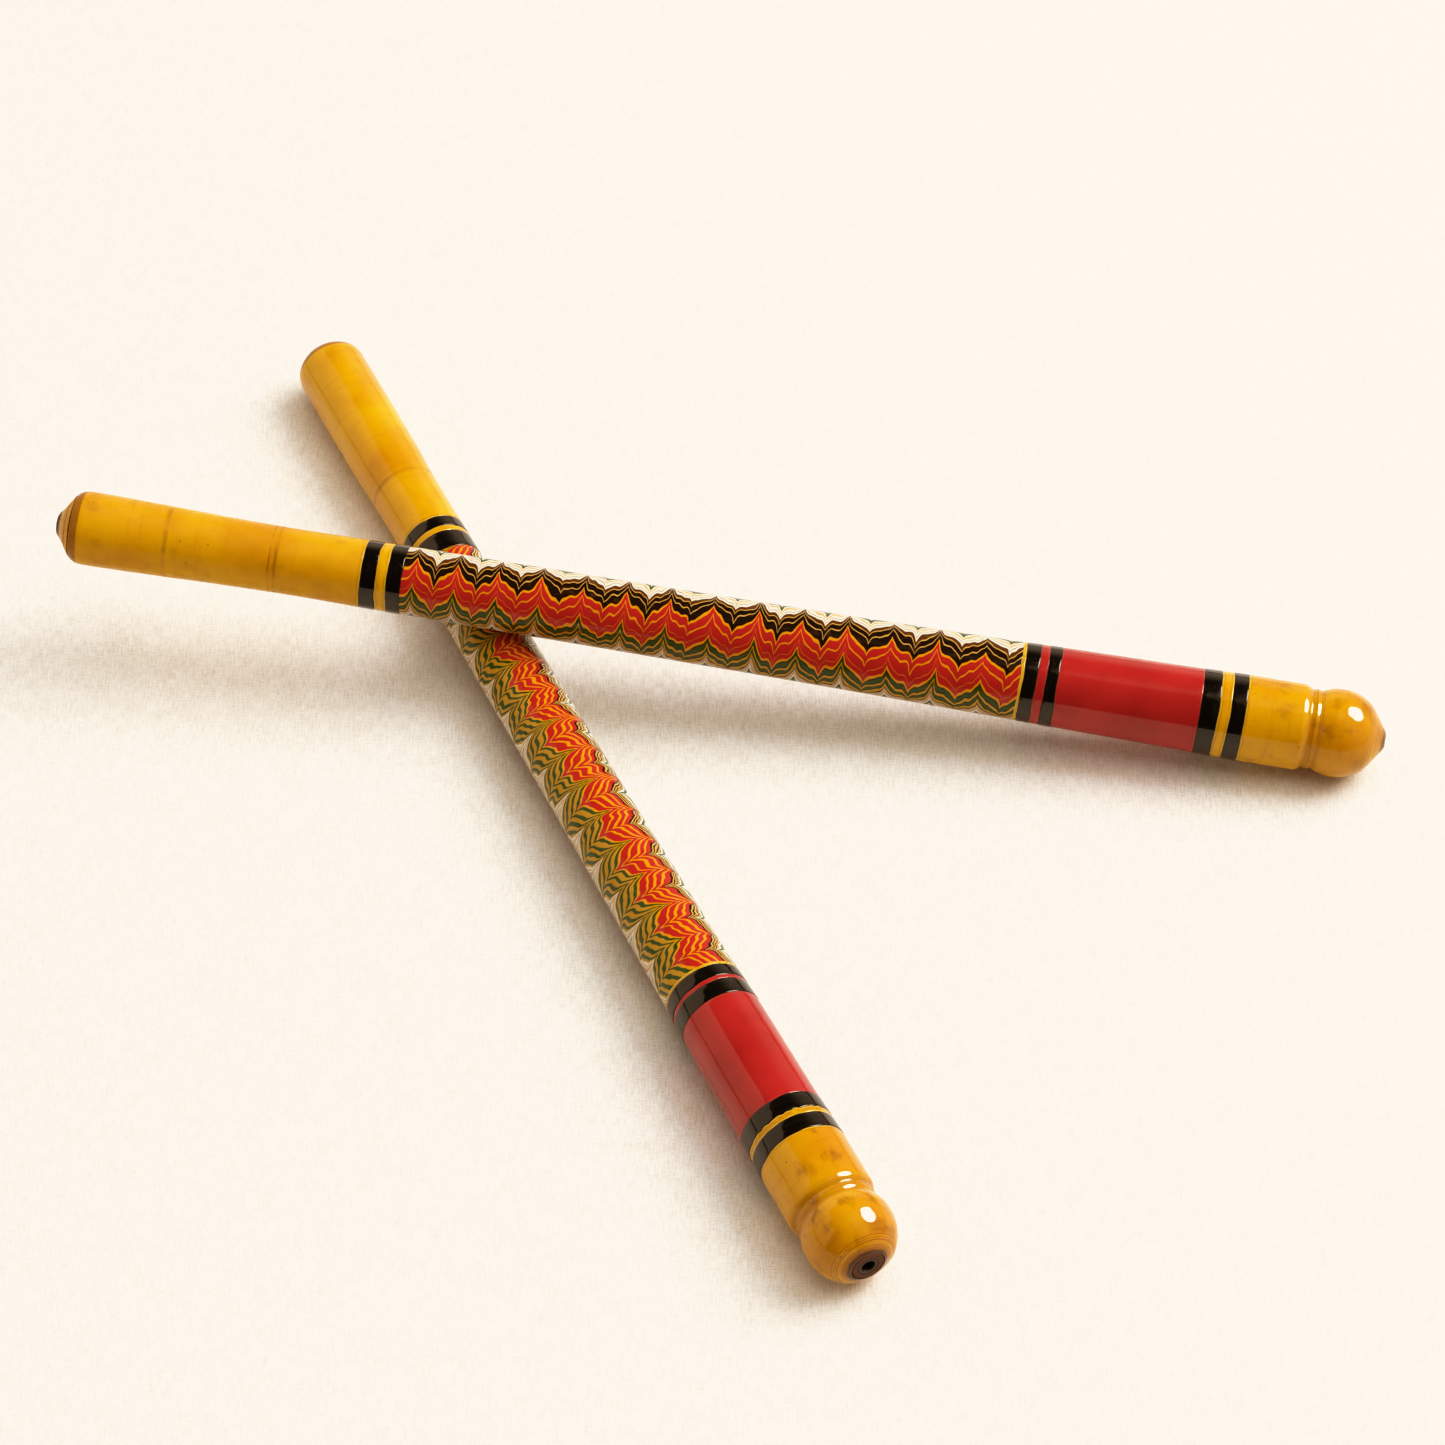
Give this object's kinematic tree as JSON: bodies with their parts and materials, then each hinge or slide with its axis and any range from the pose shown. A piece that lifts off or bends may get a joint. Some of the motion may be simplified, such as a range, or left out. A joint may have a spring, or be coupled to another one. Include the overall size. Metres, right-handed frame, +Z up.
{
  "type": "pair of dance sticks",
  "caption": "Pair of lac-turned wooden dance sticks, each with a plain grip, a marbled sleeve, coloured bands and a ball knob, one laid across the other.",
  "frame": {"origin": "on the surface that the pair lies on, below the middle of the pair's bounding box", "axes": "+Z up, +X towards the knob of the upper stick, -Y towards the knob of the lower stick"},
  "size_m": [0.3966, 0.3664, 0.0537],
  "materials": {
    "wood": "turned bare wood with a thin lac stain, dark end grain",
    "yellow_lac": "polished golden yellow lac",
    "black_lac": "polished black lac",
    "red_lac": "polished crimson lac",
    "marbled_lac": "polished lac combed into a many-coloured feather pattern"
  },
  "bodies": {
    "lower_stick": {"lower_wood_core": "wood", "lower_handle_lac": "yellow_lac", "lower_black_ring_1": "black_lac", "lower_tail_yellow_band": "yellow_lac", "lower_black_ring_2": "black_lac", "lower_marbled_sleeve": "marbled_lac", "lower_hairline_band": "yellow_lac", "lower_black_ring_3": "black_lac", "lower_narrow_red_band": "red_lac", "lower_black_ring_4": "black_lac", "lower_wide_red_band": "red_lac", "lower_black_ring_5": "black_lac", "lower_knob_yellow_band": "yellow_lac", "lower_black_ring_6": "black_lac", "lower_knob_lac": "yellow_lac"},
    "upper_stick": {"upper_wood_core": "wood", "upper_handle_lac": "yellow_lac", "upper_black_ring_1": "black_lac", "upper_tail_yellow_band": "yellow_lac", "upper_black_ring_2": "black_lac", "upper_marbled_sleeve": "marbled_lac", "upper_hairline_band": "yellow_lac", "upper_black_ring_3": "black_lac", "upper_narrow_red_band": "red_lac", "upper_black_ring_4": "black_lac", "upper_wide_red_band": "red_lac", "upper_black_ring_5": "black_lac", "upper_knob_yellow_band": "yellow_lac", "upper_black_ring_6": "black_lac", "upper_knob_lac": "yellow_lac"}
  },
  "joints": [
    {"name": "upper_stick_lift", "type": "slide", "parent": "lower_stick", "child": "upper_stick", "axis": [0, 0, 1], "range_m": [0, 0.12]}
  ]
}
